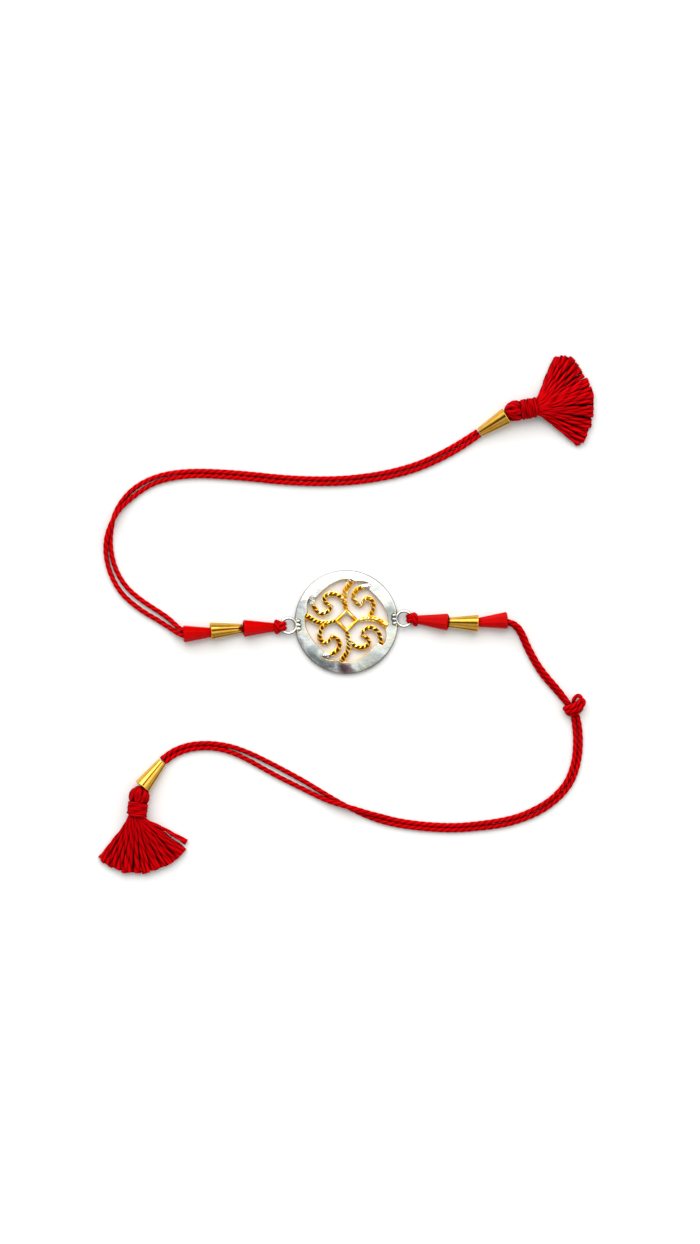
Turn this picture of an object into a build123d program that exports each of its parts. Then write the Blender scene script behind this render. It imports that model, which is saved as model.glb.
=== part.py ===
from build123d import *
from collections import namedtuple
from math import cos, pi, radians, sin, sqrt, tan
import os

os.makedirs("parts", exist_ok=True)

# Rakhi thread bracelet, untied and laid flat in a loose loop, in millimetres.
# +Z is up, z = 0 is the surface that it lies on, and the medallion's centre is over the origin.

# Medallion, cast and pierced, with its soldered lugs and rings
medallion_diameter = 24.4
medallion_thickness = 1.4
rim_edge_round = 0.45
scroll_centre = (0.04, 0.33)
scroll_count = 4
band_width = 1.35
lozenge_joint_diameter = 0.95
ring_outer_diameter = 4.3
ring_wire = 0.75
ring_overlap = 0.78
ring_height = 1.35
ring_turn = 3.5
lug_diameter = 0.64
lug_length = 2.7
lug_inset = 0.55
lug_spacing = 0.59

# Red thread
thread_diameter = 1.05
rest_gap = 0.005
running_gap = 0.05
hitch_thread_diameter = 0.7
hitch_gap = 0.03
hitch_spread = 17.0
bead_thread_bend = 4.0
bead_thread_end_run = 2.0

# Faceted beads and cones: diameters are across the corners, turn is the corner's angle off straight down
ConeShape = namedtuple("ConeShape", "length tip mouth tip_bore mouth_bore bevel turn")
red_bead = ConeShape(length=7.3, tip=2.1, mouth=4.2, tip_bore=1.3, mouth_bore=3.2, bevel=0.3, turn=15.0)
gold_cone = ConeShape(length=7.5, tip=2.3, mouth=4.3, tip_bore=1.62, mouth_bore=3.48, bevel=0.12, turn=22.5)
cone_sides = 8
corner_round_share = 0.12
floor_gap = 0.02

# Tassels
stem_diameter = 1.3
strand_end_gap = 0.26
knob_diameter = 4.3
neck_diameter = 3.4
wrap_start_reach = 1.4
wrap_diameter = 4.6
wrap_turns = 6
fan_reach = 13.4
fan_set_back = 0.5
lock_count = 10
lock_gap_width = 0.4
lock_tip_gap_width = 1.3

# Knot in the right-hand pair of strands
knot_place = Vector(53.5, -20.0, 0)
knot_length = 4.5
knot_thickness = 3.0
knot_turn = 28.5
knot_band_width = 1.3
knot_band_step = 0.62
knot_band_round = 0.5
knot_band_gap = 0.05
knot_thread_diameter = 0.85
knot_loop_step = Vector(0.77, 1.93, 1.6)
knot_loop_diameter = 2.4
knot_bump_step = Vector(1.45, 0.65, 1.5)
knot_bump_diameter = 2.1
knot_loop_tilt = 14.0
knot_stub_length = 2.2

medallion_radius = medallion_diameter / 2
ring_mean_radius = (ring_outer_diameter - ring_wire) / 2
ring_reach = medallion_radius + ring_outer_diameter / 2 - ring_overlap
rest = thread_diameter / 2 + rest_gap

# Inner edge of the rim in one quarter, in two stretches with a step between: degrees round the scrolls'
# centre, and distance as a share of the medallion's radius
rim_edge_table = (
    ((83.8, 0.801), (99.2, 0.788), (115.0, 0.753), (124.5, 0.734), (134.7, 0.728), (143.8, 0.730)),
    ((145.8, 0.834), (151.3, 0.836), (158.0, 0.817), (163.2, 0.790), (167.8, 0.761)),
)

# Centrelines of the gold bands in one quarter: x and y as shares of the medallion's radius, from the
# scrolls' centre, and width as a share of band_width
arm_table = (
    (0.104, 0.850, 1.20), (0.069, 0.726, 1.10), (0.019, 0.656, 1.00), (-0.025, 0.575, 1.00),
    (-0.046, 0.483, 1.00), (-0.044, 0.392, 0.95), (-0.027, 0.299, 0.85), (0.000, 0.208, 0.70),
)
hook_table = (
    (-0.044, 0.357, 0.70), (-0.081, 0.425, 0.85), (-0.154, 0.486, 0.88), (-0.257, 0.521, 0.88),
    (-0.353, 0.512, 0.88), (-0.421, 0.459, 0.88), (-0.436, 0.394, 0.85), (-0.402, 0.340, 0.80),
    (-0.334, 0.301, 0.62), (-0.276, 0.286, 0.20),
)
sweep_table = (
    (-0.300, 0.300, 0.40), (-0.315, 0.216, 0.80), (-0.373, 0.158, 0.85), (-0.454, 0.127, 0.88),
    (-0.544, 0.151, 0.88), (-0.618, 0.232, 0.88), (-0.656, 0.328, 0.85), (-0.668, 0.415, 0.85),
    (-0.672, 0.490, 0.85),
)
lozenge_table = ((0.000, 0.199, 0.67), (0.089, 0.097, 0.67), (0.199, 0.000, 0.67))

# Rows of beads, from the medallion outwards: heading in degrees from +X, gap from the hitch or mouth
# before it (negative where it nests in that mouth), and step to the left of the heading
BeadRow = namedtuple("BeadRow", "name shape heading gap side_step")
left_beads = (
    BeadRow("left_inner_cone", red_bead, 182.2, 0.12, 0.0),
    BeadRow("left_gold_cone", gold_cone, 185.0, 0.3, 0.0),
    BeadRow("left_outer_cone", red_bead, 183.2, -0.85, 0.3),
)
right_beads = (
    BeadRow("right_inner_cone", red_bead, -4.9, 0.25, 0.0),
    BeadRow("right_gold_cone", gold_cone, -2.0, -0.4, 0.0),
    BeadRow("right_outer_cone", red_bead, 3.8, -0.4, 0.25),
)

# Hitch round each ring: how far its cross bar's middle lies outside the ring, and the bar's size
HitchRow = namedtuple("HitchRow", "bar_offset bar_diameter bar_length bar_step")
left_hitch = HitchRow(bar_offset=0.6, bar_diameter=1.1, bar_length=3.0, bar_step=0.1)
right_hitch = HitchRow(bar_offset=0.4, bar_diameter=0.72, bar_length=2.7, bar_step=-0.4)

# Strands of the two cords, chosen along the photographed loops
left_cord_a_route = (
    (-35.9, -2.2, 2.0), (-37.1, -2.2, 2.0), (-38.7, -1.8, 1.8), (-40.1, -0.7, 1.2), (-41.4, 0.6, 0.65),
    (-43.6, 2.2, rest), (-46.5, 4.0, rest), (-49.3, 6.0, rest), (-51.7, 8.2, rest), (-53.6, 11.0, rest),
    (-54.8, 14.0, rest), (-55.4, 17.1, rest), (-55.5, 19.8, rest), (-55.2, 22.3, rest), (-54.7, 24.9, rest),
    (-53.5, 27.4, rest), (-51.7, 29.9, rest), (-49.3, 32.0, rest), (-46.6, 33.5, rest), (-43.5, 34.6, rest),
    (-39.9, 35.3, rest), (-35.1, 35.6, rest), (-29.3, 35.4, rest), (-22.7, 34.9, rest), (-15.6, 34.1, rest),
    (-8.1, 33.7, rest), (-1.0, 33.8, rest), (5.6, 34.5, rest), (11.7, 35.7, rest), (17.3, 37.4, rest),
    (22.0, 39.6, rest), (25.8, 41.7, rest), (28.5, 43.4, 0.8), (30.8, 44.9, 1.15),
)
left_cord_b_route = (
    (-35.9, -3.3, 2.0), (-37.1, -3.3, 2.0), (-38.7, -3.05, 1.8), (-40.1, -2.25, 1.15), (-41.9, -1.1, 0.6),
    (-44.5, 0.6, rest), (-47.5, 2.3, rest), (-50.5, 4.5, rest), (-53.0, 6.9, rest), (-54.9, 10.0, rest),
    (-56.1, 13.3, rest), (-56.6, 16.4, 0.6), (-56.5, 19.2, 1.3), (-55.8, 21.8, 1.72), (-54.7, 24.3, 1.72),
    (-53.3, 26.6, 1.45), (-51.3, 28.5, 0.9), (-48.7, 30.6, rest), (-46.0, 32.3, rest), (-43.1, 33.4, rest),
    (-39.6, 34.1, rest), (-34.9, 34.5, rest), (-29.3, 34.2, rest), (-22.7, 33.7, rest), (-15.6, 32.9, rest),
    (-8.1, 32.5, rest), (-0.9, 32.6, rest), (5.8, 33.3, rest), (12.0, 34.5, rest), (17.8, 36.3, rest),
    (22.6, 38.5, rest), (26.4, 40.6, rest), (29.1, 42.4, 0.8), (31.4, 44.0, 1.15),
)
right_cord_a_upper_route = (
    (35.3, 0.2, 2.58), (36.5, 0.2, 2.58), (38.0, 0.2, 2.55), (39.5, -0.25, 2.3), (40.8, -1.4, 1.9),
    (41.7, -3.0, 1.6), (42.4, -4.8, 1.52), (43.3, -6.6, 1.52), (44.5, -8.9, 1.45), (46.1, -11.3, 1.4),
    (47.9, -13.5, 1.5), (49.8, -15.7, 1.52), (51.4, -17.8, 1.52),
)
right_cord_b_upper_route = (
    (35.3, 0.2, 1.5), (36.5, 0.2, 1.5), (37.95, -0.05, 1.38), (39.4, -0.8, 1.0), (40.5, -2.1, 0.6),
    (41.2, -3.5, rest), (41.9, -5.2, rest), (42.8, -7.1, rest), (44.0, -9.3, rest), (45.5, -11.8, rest),
    (47.3, -14.0, rest), (49.3, -16.2, rest), (51.0, -18.2, rest),
)
right_cord_a_lower_route = (
    (53.4, -22.6, rest), (53.7, -24.8, rest), (53.9, -27.5, rest), (53.8, -30.1, rest), (53.5, -32.7, rest),
    (52.8, -35.1, rest), (51.8, -37.4, rest), (50.3, -39.4, rest), (48.5, -41.2, rest), (46.3, -42.8, rest),
    (43.7, -44.2, rest), (40.7, -45.5, rest), (37.3, -46.4, rest), (33.7, -47.0, rest), (29.8, -47.5, rest),
    (25.7, -47.8, rest), (21.3, -47.7, rest), (16.6, -47.3, rest), (11.9, -46.6, rest), (8.2, -45.6, 0.6),
    (5.1, -44.8, 1.3), (2.4, -43.9, 1.72), (-0.2, -43.2, 1.72), (-2.8, -42.5, 1.4), (-5.8, -41.4, 0.65),
    (-10.2, -39.2, rest), (-14.7, -37.0, rest), (-18.8, -34.8, rest), (-22.8, -32.5, rest),
    (-26.6, -30.7, rest), (-30.2, -29.7, rest), (-33.7, -29.5, rest), (-36.8, -29.9, rest),
    (-39.2, -30.7, rest), (-41.1, -31.7, 0.8), (-42.7, -33.0, 1.15),
)
right_cord_b_lower_route = (
    (54.5, -22.5, rest), (54.9, -24.7, rest), (55.1, -27.5, rest), (55.0, -30.3, rest), (54.6, -33.0, rest),
    (53.9, -35.6, rest), (52.8, -38.0, rest), (51.1, -40.3, rest), (49.2, -42.1, rest), (46.8, -43.9, rest),
    (44.1, -45.4, rest), (41.0, -46.6, rest), (37.6, -47.6, rest), (33.9, -48.2, rest), (29.9, -48.6, rest),
    (25.7, -48.9, rest), (21.3, -48.8, rest), (16.5, -48.4, rest), (11.7, -47.7, rest), (7.7, -46.7, rest),
    (4.6, -45.5, rest), (2.2, -44.4, rest), (-0.1, -43.2, rest), (-2.6, -41.8, rest), (-5.8, -39.9, rest),
    (-9.5, -37.6, rest), (-13.7, -35.3, rest), (-17.9, -33.1, rest), (-22.1, -31.0, rest),
    (-26.2, -29.4, rest), (-30.0, -28.6, rest), (-33.7, -28.4, rest), (-37.1, -28.8, rest),
    (-39.8, -29.7, rest), (-41.8, -30.8, 0.8), (-43.5, -32.2, 1.15),
)

# Tied ends: the two strands, the cone's heading, the knob's, the neck's heading and its reach from the
# knob, and the fan's headings
EndRow = namedtuple("EndRow", "name strands cone_heading knob_heading neck_heading neck_reach fan_start fan_end")
tied_ends = (
    EndRow("upper", (left_cord_a_route, left_cord_b_route), 31.5, 30.5, 9.6, 5.4, -41.0, 68.0),
    EndRow(
        "lower", (right_cord_a_lower_route, right_cord_b_lower_route), 231.5, 252.0, 262.5, 4.9, 228.0, 324.5
    ),
)

# Side outline of a tassel's fan: distance out as a share of its reach, height as a share of the neck's
fan_outline_table = (
    (0.00, 0.54), (0.26, 0.15), (0.86, 0.01), (0.98, 0.15), (1.00, 0.42), (0.96, 0.76),
    (0.80, 1.02), (0.40, 1.42), (0.12, 1.60), (0.00, 1.58),
)
# Where the gaps between its locks begin, in turn, and where its locks start to round off, as shares of
# its reach
lock_gap_starts = (0.52, 0.40, 0.60, 0.46, 0.55)
lock_round_start = 0.92


def unit(heading):
    """Level unit vector at a heading in degrees from +X."""
    return Vector(cos(radians(heading)), sin(radians(heading)), 0)


def finish(part, name):
    """Labels a finished piece and writes its STEP file."""
    part.label = name
    export_step(part, f"parts/{name}.step")


def corner_radii(points):
    """Radius at each corner of a route: 0.45 of the shorter run, over the tangent of half the turn."""
    radii = []
    for before, corner, after in zip(points, points[1:], points[2:]):
        run_in = corner - before
        run_out = after - corner
        half_turn = radians(run_in.get_angle(run_out)) / 2
        radii.append(0.45 * min(run_in.length, run_out.length) / tan(half_turn))
    return radii


def cone_lift(shape, diameter):
    """Height of a faceted cone's axis where the cone's nearest corner rests on the surface."""
    return diameter / 2 * cos(radians(shape.turn)) + floor_gap


def cone_plane(shape, tip, heading):
    """Plane at a cone's tip, looking at its mouth, which rests on the surface."""
    rise = cone_lift(shape, shape.mouth) - tip.Z
    level = sqrt(shape.length**2 - rise**2)
    axis = unit(heading) * level + Vector(0, 0, rise)
    return Plane(origin=tip, x_dir=unit(heading + 90), z_dir=axis)


def chain_planes(start, rows):
    """Planes of a row of beads: each follows the mouth of the one before, on the surface or seated in it."""
    planes = []
    mouth = start
    before = None
    for row in rows:
        along = unit(row.heading) * row.gap
        aside = unit(row.heading + 90) * row.side_step
        height = cone_lift(row.shape, row.shape.tip)
        if row.gap < 0:
            taper = (before.mouth_bore - before.tip_bore) / 2 / before.length
            slack = before.mouth_bore / 2 + row.gap * taper - row.shape.tip / 2 - running_gap
            height = max(height, mouth.Z - sqrt(max(slack**2 - row.side_step**2, 0)))
        tip = Vector(mouth.X + along.X + aside.X, mouth.Y + along.Y + aside.Y, height)
        planes.append(cone_plane(row.shape, tip, row.heading))
        mouth = planes[-1].origin + planes[-1].z_dir * row.shape.length
        before = row.shape
    return planes


def faceted_cone(shape, plane):
    """Hollow faceted cone with softened corners and a bevelled mouth, from its tip's plane."""
    stations = (
        (0, shape.tip),
        (shape.length - shape.bevel, shape.mouth),
        (shape.length, shape.mouth - 2 * shape.bevel),
    )
    with BuildPart(plane) as cone:
        for station, diameter in stations:
            with BuildSketch(plane.offset(station)):
                RegularPolygon(diameter / 2, cone_sides, rotation=shape.turn)
                fillet(vertices(), radius=diameter / 2 * corner_round_share)
        loft(ruled=True)
        from_tip = (Align.CENTER, Align.CENTER, Align.MIN)
        Cone(shape.tip_bore / 2, shape.mouth_bore / 2, shape.length, align=from_tip, mode=Mode.SUBTRACT)
    return cone.part


def thread_tube(points, diameter=thread_diameter, bend_limit=None):
    """Thread along straight runs joined by tangent arcs, with its length and its radii."""
    radii = corner_radii(points)
    if bend_limit:
        radii = [min(radius, bend_limit) for radius in radii]
    with BuildPart() as thread:
        with BuildLine():
            path = FilletPolyline(*points, radius=radii)
        with BuildSketch(Plane(origin=points[0], z_dir=points[1] - points[0])):
            Circle(diameter / 2)
        sweep()
    return thread.part, path.length, radii


def end_stub(end, inner, length):
    """Length of thread that carries a strand on past its end, in line with its last run."""
    plane = Plane(origin=end, z_dir=end - inner)
    with BuildPart() as stub:
        with BuildSketch(plane):
            Circle(thread_diameter / 2)
        extrude(amount=length)
    return stub.part


def band_face(rows):
    """Flat band of changing width along one of the scrollwork's centrelines."""
    centres = [Vector(x * medallion_radius, y * medallion_radius) for x, y, _ in rows]
    left_side = []
    right_side = []
    for i, (centre, row) in enumerate(zip(centres, rows)):
        along = centres[min(i + 1, len(rows) - 1)] - centres[max(i - 1, 0)]
        side = Vector(-along.Y, along.X).normalized() * (row[2] * band_width / 2)
        left_side.append(centre + side)
        right_side.append(centre - side)
    with BuildSketch() as band:
        with BuildLine():
            left_edge = Spline(*left_side)
            right_edge = Spline(*right_side)
            Line(left_edge @ 0, right_edge @ 0)
            Line(left_edge @ 1, right_edge @ 1)
        make_face()
    return band.sketch


def rim_edge_face():
    """The whole space inside the rim, with its steps."""
    stretches = []
    for quarter in range(scroll_count):
        for stretch in rim_edge_table:
            turned = [(angle + quarter * 360 / scroll_count, share) for angle, share in stretch]
            stretches.append([unit(angle) * (share * medallion_radius) for angle, share in turned])
    with BuildSketch() as space:
        with BuildLine():
            for here, following in zip(stretches, stretches[1:] + stretches[:1]):
                Spline(*here)
                Line(here[-1], following[0])
        make_face()
    return space.sketch


# Medallion: pierced plate, lugs and rings, all one solid
with BuildPart() as medallion:
    with BuildSketch():
        Circle(medallion_radius)
        with Locations(scroll_centre):
            add(rim_edge_face(), mode=Mode.SUBTRACT)
            with PolarLocations(0, scroll_count):
                for centreline in (arm_table, hook_table, sweep_table, lozenge_table):
                    add(band_face(centreline))
            with PolarLocations(lozenge_table[0][1] * medallion_radius, scroll_count):
                Circle(lozenge_joint_diameter / 2)
    extrude(amount=medallion_thickness)
    outer_edge = edges().filter_by(GeomType.CIRCLE).sort_by(SortBy.RADIUS)[-2:].sort_by(Axis.Z)[-1]
    fillet(outer_edge, radius=rim_edge_round)
    with Locations((0, 0, ring_height)):
        with PolarLocations(ring_reach, 2, start_angle=ring_turn):
            Torus(ring_mean_radius, ring_wire / 2)
    with Locations((0, 0, medallion_thickness)):
        for lug in range(2):
            lug_reach = medallion_radius - lug_inset - lug * lug_spacing
            straight = lug_length - lug_diameter
            with PolarLocations(lug_reach, 2, start_angle=ring_turn):
                Cylinder(lug_diameter / 2, straight, rotation=(90, 0, 0))
                with Locations((0, -straight / 2, 0), (0, straight / 2, 0)):
                    Sphere(lug_diameter / 2)
finish(medallion.part, "medallion")

# Beads, their thread and its hitch on each side
Side = namedtuple("Side", "name ring_heading beads hitch strands")
sides = (
    Side("left", ring_turn + 180, left_beads, left_hitch, (left_cord_a_route, left_cord_b_route)),
    Side("right", ring_turn, right_beads, right_hitch, (right_cord_a_upper_route, right_cord_b_upper_route)),
)
for side in sides:
    outwards = unit(side.ring_heading)
    ring_centre = outwards * ring_reach + Vector(0, 0, ring_height)
    ring_plane = Plane(origin=ring_centre, x_dir=outwards, z_dir=(0, 0, 1))
    hitch = side.hitch
    bar_reach = ring_outer_diameter / 2 + hitch.bar_offset
    bar_centre = ring_plane.from_local_coords(Vector(bar_reach, hitch.bar_step, 0))
    bead_start = bar_centre + outwards * (hitch.bar_diameter / 2)
    bead_planes = chain_planes(bead_start, side.beads)
    for row, plane in zip(side.beads, bead_planes):
        finish(faceted_cone(row.shape, plane), row.name)

    tips = [plane.origin for plane in bead_planes]
    thread_start = Vector(bar_centre.X, bar_centre.Y, tips[0].Z)
    strand_starts = [Vector(*route[0]) for route in side.strands]
    thread_end = (strand_starts[0] + strand_starts[1]) * 0.5
    end_run = Vector(*side.strands[0][1]) - strand_starts[0]
    last_bend = thread_end - end_run.normalized() * bead_thread_end_run
    route = [thread_start, *tips, last_bend, thread_end]
    core, length, radii = thread_tube(route, bend_limit=bead_thread_bend)
    print(f"{side.name}_bead_thread: {length:.1f} mm long, radii {min(radii):.1f} to {max(radii):.1f} mm")
    wrap_radius = ring_wire / 2 + hitch_gap + hitch_thread_diameter / 2
    with BuildPart() as bead_thread:
        add(core)
        with Locations(ring_plane):
            with PolarLocations(ring_mean_radius, 2, -hitch_spread, 2 * hitch_spread, endpoint=True):
                Torus(wrap_radius, hitch_thread_diameter / 2, rotation=(90, 0, 0))
            straight = hitch.bar_length - hitch.bar_diameter
            with Locations((bar_reach, hitch.bar_step, 0)):
                Cylinder(hitch.bar_diameter / 2, straight, rotation=(90, 0, 0))
                with Locations((0, -straight / 2, 0), (0, straight / 2, 0)):
                    Sphere(hitch.bar_diameter / 2)
    finish(bead_thread.part, f"{side.name}_bead_thread")

# Strands of the cords
strand_routes = {
    "left_cord_a": left_cord_a_route,
    "left_cord_b": left_cord_b_route,
    "right_cord_a_upper": right_cord_a_upper_route,
    "right_cord_b_upper": right_cord_b_upper_route,
    "right_cord_a_lower": right_cord_a_lower_route,
    "right_cord_b_lower": right_cord_b_lower_route,
}
for name, route in strand_routes.items():
    strand, length, radii = thread_tube([Vector(*point) for point in route])
    filled = strand.volume / (pi * thread_diameter**2 / 4 * length)
    print(f"{name}: {length:.1f} mm long, radii {min(radii):.1f} to {max(radii):.0f} mm, volume {filled:.4f}")
    finish(strand, name)

# Knot where the right-hand strands are tied
upper_stubs = [
    end_stub(Vector(*route[-1]), Vector(*route[-2]), knot_stub_length)
    for route in (right_cord_a_upper_route, right_cord_b_upper_route)
]
lower_stubs = [
    end_stub(Vector(*route[0]), Vector(*route[1]), knot_stub_length)
    for route in (right_cord_a_lower_route, right_cord_b_lower_route)
]
knot_middle = knot_place + Vector(0, 0, knot_thickness / 2 + knot_band_gap)
knot_bands = []
for step in (-1, 1):
    aside = unit(knot_turn + 90)
    band_plane = Plane(knot_middle + aside * (step * knot_band_step), x_dir=unit(knot_turn), z_dir=aside)
    with BuildPart() as knot_band:
        with BuildSketch(band_plane):
            SlotOverall(knot_length, knot_thickness)
        extrude(amount=knot_band_width / 2, both=True)
        rims = edges().filter_by(lambda edge: abs(edge.tangent_at(0.5).dot(band_plane.z_dir)) < 0.5)
        fillet(rims, radius=knot_band_round)
    knot_bands.append(knot_band.part)
with BuildPart() as knot:
    for piece in knot_bands + upper_stubs + lower_stubs:
        add(piece)
    for centre_step, diameter in ((knot_loop_step, knot_loop_diameter), (knot_bump_step, knot_bump_diameter)):
        with Locations(knot_place + centre_step):
            loop_radius = (diameter - knot_thread_diameter) / 2
            Torus(loop_radius, knot_thread_diameter / 2, rotation=(0, knot_loop_tilt, 0))
finish(knot.part, "cord_knot")

# Tied ends: cone, tassel and its wrap
neck_height = wrap_diameter / 2 + floor_gap
knob_height = knob_diameter / 2 + floor_gap
for end in tied_ends:
    strand_ends = [Vector(*route[-1]) for route in end.strands]
    cone_tip = (strand_ends[0] + strand_ends[1]) * 0.5 + unit(end.cone_heading) * strand_end_gap
    tip_plane = cone_plane(gold_cone, cone_tip, end.cone_heading)
    finish(faceted_cone(gold_cone, tip_plane), f"{end.name}_end_cone")

    mouth = tip_plane.origin + tip_plane.z_dir * gold_cone.length
    knob_offset = (knob_diameter / 2 + running_gap) / cos(radians(end.knob_heading - end.cone_heading))
    knob_level = mouth + unit(end.knob_heading) * knob_offset
    knob = Vector(knob_level.X, knob_level.Y, knob_height)
    neck_level = knob + unit(end.neck_heading) * end.neck_reach
    neck = Vector(neck_level.X, neck_level.Y, neck_height)
    wrap_length = end.neck_reach - wrap_start_reach

    fan_centre = neck - unit(end.neck_heading) * fan_set_back
    fan_foot = Vector(fan_centre.X, fan_centre.Y, 0)
    reach = fan_reach + fan_set_back
    spread = end.fan_end - end.fan_start
    stem = thread_tube([tip_plane.origin, mouth, knob], diameter=stem_diameter)[0]
    with BuildPart() as tassel:
        with BuildSketch(Plane(origin=knob, z_dir=neck - knob)):
            Circle(neck_diameter / 2)
        extrude(amount=end.neck_reach)
        with Locations(knob):
            Sphere(knob_diameter / 2)
        add(stem)
        with BuildSketch(Plane(fan_foot, x_dir=unit(end.fan_start), z_dir=unit(end.fan_start - 90))):
            Polygon(*[(out * reach, rise * neck_height) for out, rise in fan_outline_table], align=None)
        revolve(axis=Axis(fan_centre, (0, 0, 1)), revolution_arc=spread)
        for gap in range(1, lock_count):
            heading = end.fan_start + spread * gap / lock_count
            gap_start = (lock_gap_starts[gap % len(lock_gap_starts)] * reach, 0)
            narrow = (lock_round_start * reach, lock_gap_width / 2)
            wide = (reach + lock_gap_width, lock_tip_gap_width / 2)
            with BuildSketch(Plane(fan_foot, x_dir=unit(heading), z_dir=(0, 0, 1))):
                with BuildLine():
                    Polyline(gap_start, narrow, wide, (wide[0], 0))
                    mirror(about=Plane.XZ)
                make_face()
            extrude(amount=2 * neck_height, mode=Mode.SUBTRACT)
    finish(tassel.part, f"{end.name}_tassel")

    wrap_axis = (neck - knob).normalized()
    wrap_start = neck - wrap_axis * wrap_length
    turn_width = wrap_length / wrap_turns
    valley = wrap_diameter / 2 - turn_width / 3
    with BuildPart() as wrap:
        with BuildSketch(Plane(origin=wrap_start, x_dir=wrap_axis, z_dir=unit(end.neck_heading - 90))):
            with BuildLine():
                inside = neck_diameter / 2 + running_gap
                for turn in range(wrap_turns):
                    at = turn * turn_width
                    ThreePointArc(
                        (at, valley), (at + turn_width / 2, wrap_diameter / 2), (at + turn_width, valley)
                    )
                Polyline((0, valley), (0, inside), (wrap_length, inside), (wrap_length, valley))
            make_face()
        revolve(axis=Axis(wrap_start, wrap_axis))
    finish(wrap.part, f"{end.name}_tassel_wrap")
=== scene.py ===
import bisect
import random
from collections import namedtuple
from math import atan2, cos, degrees, pi, radians, sin, sqrt, tau

import bmesh
import bpy
from mathutils import Matrix, Vector


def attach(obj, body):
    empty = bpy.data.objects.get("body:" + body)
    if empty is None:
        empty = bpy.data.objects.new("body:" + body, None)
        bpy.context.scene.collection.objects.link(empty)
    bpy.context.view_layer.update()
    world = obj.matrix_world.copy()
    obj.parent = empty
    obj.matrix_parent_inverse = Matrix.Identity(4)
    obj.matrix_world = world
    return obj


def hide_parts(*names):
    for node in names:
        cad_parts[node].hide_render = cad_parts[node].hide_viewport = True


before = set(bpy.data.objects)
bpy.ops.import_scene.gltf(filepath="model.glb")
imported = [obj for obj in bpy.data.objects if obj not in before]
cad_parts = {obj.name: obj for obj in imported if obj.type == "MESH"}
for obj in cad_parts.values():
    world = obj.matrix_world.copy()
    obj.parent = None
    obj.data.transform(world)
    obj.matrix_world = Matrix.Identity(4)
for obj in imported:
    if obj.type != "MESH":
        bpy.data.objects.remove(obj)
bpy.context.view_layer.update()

# Rakhi thread bracelet, laid flat. Shapes are worked out in millimetres and scaled as each piece is made.
MM = 0.001
UP = Vector((0, 0, 1))


# Camera straight above, as in the photograph: its 700 x 1244 frame covers 164.7 x 292.7 mm of the surface
camera_data = bpy.data.cameras.new("camera")
camera_data.sensor_fit = "VERTICAL"
camera_data.sensor_height = 24
camera_data.lens = 24 * 900 / 292.7
camera_data.clip_start = 0.01
camera = bpy.data.objects.new("camera", camera_data)
camera.location = (0.00086, 0.00005, 0.9)
bpy.context.collection.objects.link(camera)
bpy.context.scene.camera = camera
bpy.context.scene.view_settings.view_transform = "Standard"


def unit(heading):
    """Level unit vector at a heading in degrees from +X."""
    return Vector((cos(radians(heading)), sin(radians(heading)), 0))


def smooth_line(points):
    """Points read from the NURBS spline that has these control points."""
    curve = bpy.data.curves.new("route", "CURVE")
    curve.dimensions = "3D"
    curve.resolution_u = 16
    spline = curve.splines.new("NURBS")
    spline.points.add(len(points) - 1)
    for control, point in zip(spline.points, points):
        control.co = (*point, 1)
    spline.order_u = 3
    spline.use_endpoint_u = True
    route = bpy.data.objects.new("route", curve)
    mesh = bpy.data.meshes.new_from_object(route)
    line = [vertex.co.copy() for vertex in mesh.vertices]
    bpy.data.objects.remove(route)
    bpy.data.curves.remove(curve)
    bpy.data.meshes.remove(mesh)
    return line


def distances(line):
    """How far along a line each of its points lies."""
    reached = [0]
    for here, following in zip(line, line[1:]):
        reached.append(reached[-1] + (following - here).length)
    return reached


def evenly(line, step):
    """The same line with its points about a step apart."""
    reached = distances(line)
    count = max(2, round(reached[-1] / step))
    spaced = []
    run = 0
    for point in range(count + 1):
        at = reached[-1] * point / count
        while run < len(line) - 2 and reached[run + 1] < at:
            run += 1
        share = (at - reached[run]) / max(reached[run + 1] - reached[run], 1e-9)
        spaced.append(line[run].lerp(line[run + 1], share))
    return spaced


def ply_section(plies, samples=5, reach=0.13, radius=0.37):
    """Outline of a thread's section, 1 across: its plies side by side, pressed together."""
    curve = bpy.data.curves.new("ply section", "CURVE")
    curve.dimensions = "2D"
    spline = curve.splines.new("POLY")
    spline.points.add(plies * samples - 1)
    for index, corner in enumerate(spline.points):
        ply, sample = divmod(index, samples)
        off = (sample / samples - 0.5) * tau / plies
        out = reach * cos(off) + sqrt(radius**2 - (reach * sin(off)) ** 2)
        angle = ply * tau / plies + off
        corner.co = (out * cos(angle), out * sin(angle), 0, 1)
    spline.use_cyclic_u = True
    section = bpy.data.objects.new("ply section", curve)
    bpy.context.collection.objects.link(section)
    return section


ply_sections = {plies: ply_section(plies) for plies in (2, 3)}


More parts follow.
